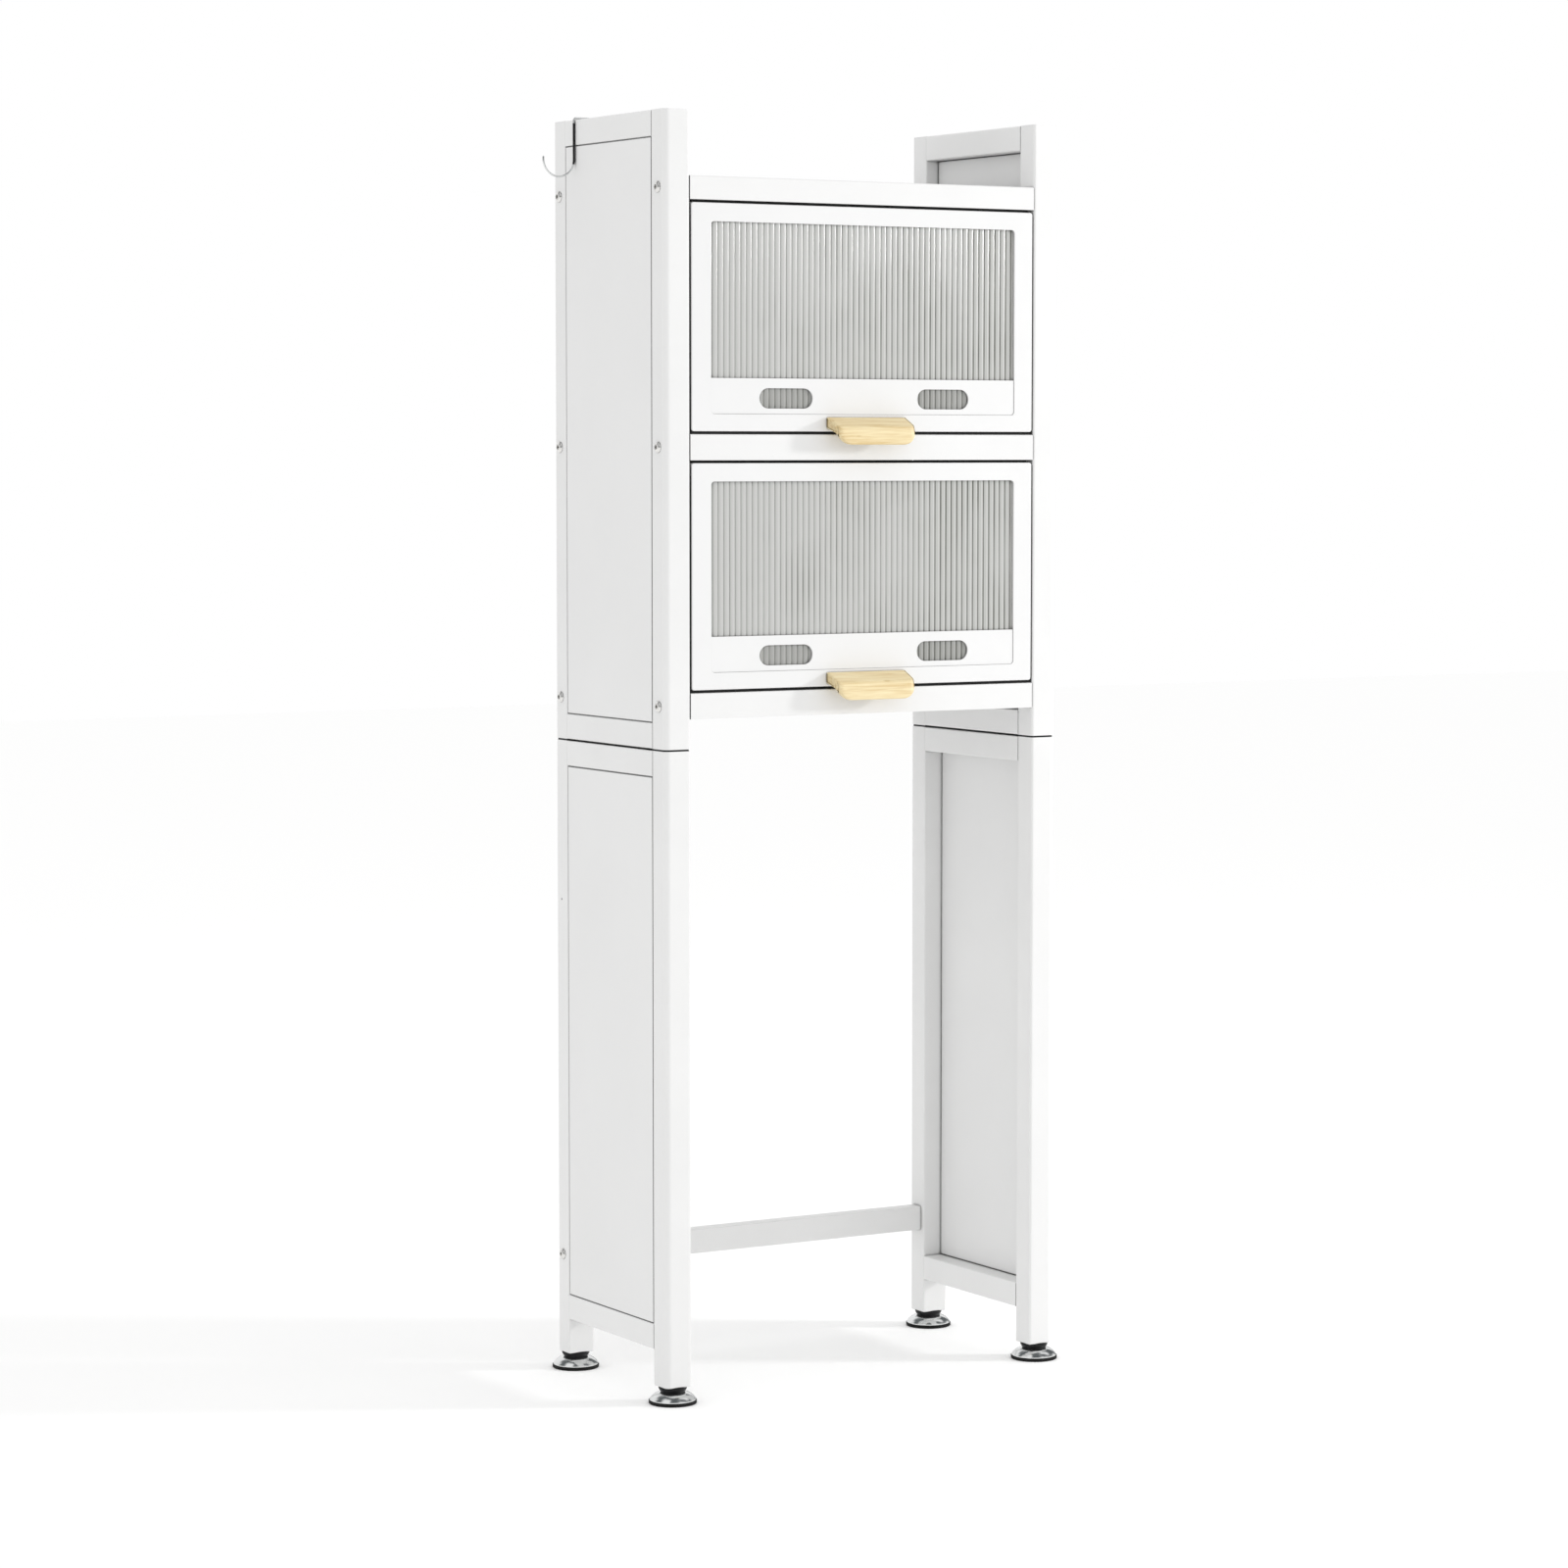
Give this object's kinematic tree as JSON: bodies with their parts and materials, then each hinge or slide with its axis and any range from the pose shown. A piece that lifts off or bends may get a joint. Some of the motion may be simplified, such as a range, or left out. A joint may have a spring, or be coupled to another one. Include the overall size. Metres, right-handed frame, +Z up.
{
  "type": "over toilet storage rack",
  "caption": "Free-standing white rack that straddles a toilet, with panelled side frames, shelves, flap-door cabinets with reeded windows and levelling feet.",
  "frame": {"origin": "on the floor, at the centre of the footprint of the two side frames", "axes": "+Z up, -Y to the front where the doors are, +X to the right as seen from the front"},
  "size_m": [0.6607, 0.3482, 1.6633],
  "materials": {
    "white_metal": "fine satin powder coat",
    "white_board": "smooth satin face on a light board",
    "white_plastic": "moulded, soft sheen",
    "reeded_sheet": "translucent, vertical reeds",
    "pale_wood": "oiled, fine straight grain",
    "nickel_steel": "nickel plated",
    "chrome": "polished plate",
    "black_rubber": "moulded rubber",
    "black_plastic": "moulded"
  },
  "bodies": {
    "frame": {"left_lower_front_post": "white_metal", "left_lower_rear_post": "white_metal", "left_lower_top_rail": "white_metal", "left_lower_bottom_rail": "white_metal", "left_lower_panel": "white_board", "left_upper_front_post": "white_metal", "left_upper_rear_post": "white_metal", "left_upper_top_rail": "white_metal", "left_upper_bottom_rail": "white_metal", "left_upper_panel": "white_board", "right_lower_front_post": "white_metal", "right_lower_rear_post": "white_metal", "right_lower_top_rail": "white_metal", "right_lower_bottom_rail": "white_metal", "right_lower_panel": "white_board", "right_upper_front_post": "white_metal", "right_upper_rear_post": "white_metal", "right_upper_top_rail": "white_metal", "right_upper_bottom_rail": "white_metal", "right_upper_panel": "white_board", "post_top_caps": "white_plastic", "post_foot_plugs": "white_plastic", "post_joiners": "black_plastic", "bottom_shelf": "white_metal", "middle_shelf": "white_metal", "top_shelf": "white_metal", "lower_back_panel": "white_metal", "upper_back_panel": "white_metal", "rear_crossbar": "white_metal", "frame_bolts": "nickel_steel", "rivet_nuts": "nickel_steel", "hinge_bushes": "black_plastic", "door_stops": "black_rubber"},
    "lower_door": {"lower_door_frame": "white_plastic", "lower_door_band": "white_plastic", "lower_door_reeded_sheet": "reeded_sheet", "lower_door_seal": "black_rubber", "lower_door_handle": "pale_wood", "lower_door_handle_screws": "nickel_steel", "lower_door_pivot_pins": "nickel_steel"},
    "upper_door": {"upper_door_frame": "white_plastic", "upper_door_band": "white_plastic", "upper_door_reeded_sheet": "reeded_sheet", "upper_door_seal": "black_rubber", "upper_door_handle": "pale_wood", "upper_door_handle_screws": "nickel_steel", "upper_door_pivot_pins": "nickel_steel"},
    "front_left_foot": {"front_left_foot_pad": "black_rubber", "front_left_foot_dome": "chrome", "front_left_foot_stem": "black_plastic"},
    "rear_left_foot": {"rear_left_foot_pad": "black_rubber", "rear_left_foot_dome": "chrome", "rear_left_foot_stem": "black_plastic"},
    "front_right_foot": {"front_right_foot_pad": "black_rubber", "front_right_foot_dome": "chrome", "front_right_foot_stem": "black_plastic"},
    "rear_right_foot": {"rear_right_foot_pad": "black_rubber", "rear_right_foot_dome": "chrome", "rear_right_foot_stem": "black_plastic"},
    "side_hook": {"side_hook": "chrome"}
  },
  "joints": [
    {"name": "lower_door_hinge", "type": "hinge", "parent": "frame", "child": "lower_door", "pos_m": [0, -0.1415, 1.2039], "axis": [-1, 0, 0], "range_deg": [0, 90]},
    {"name": "upper_door_hinge", "type": "hinge", "parent": "frame", "child": "upper_door", "pos_m": [0, -0.1415, 1.5344], "axis": [-1, 0, 0], "range_deg": [0, 90]},
    {"name": "front_left_foot_screw", "type": "slide", "parent": "frame", "child": "front_left_foot", "axis": [0, 0, -1], "range_m": [0, 0.012]},
    {"name": "rear_left_foot_screw", "type": "slide", "parent": "frame", "child": "rear_left_foot", "axis": [0, 0, -1], "range_m": [0, 0.012]},
    {"name": "front_right_foot_screw", "type": "slide", "parent": "frame", "child": "front_right_foot", "axis": [0, 0, -1], "range_m": [0, 0.012]},
    {"name": "rear_right_foot_screw", "type": "slide", "parent": "frame", "child": "rear_right_foot", "axis": [0, 0, -1], "range_m": [0, 0.012]},
    {"name": "hook_slide", "type": "slide", "parent": "frame", "child": "side_hook", "axis": [0, 1, 0], "range_m": [-0.195, 0.02]}
  ]
}
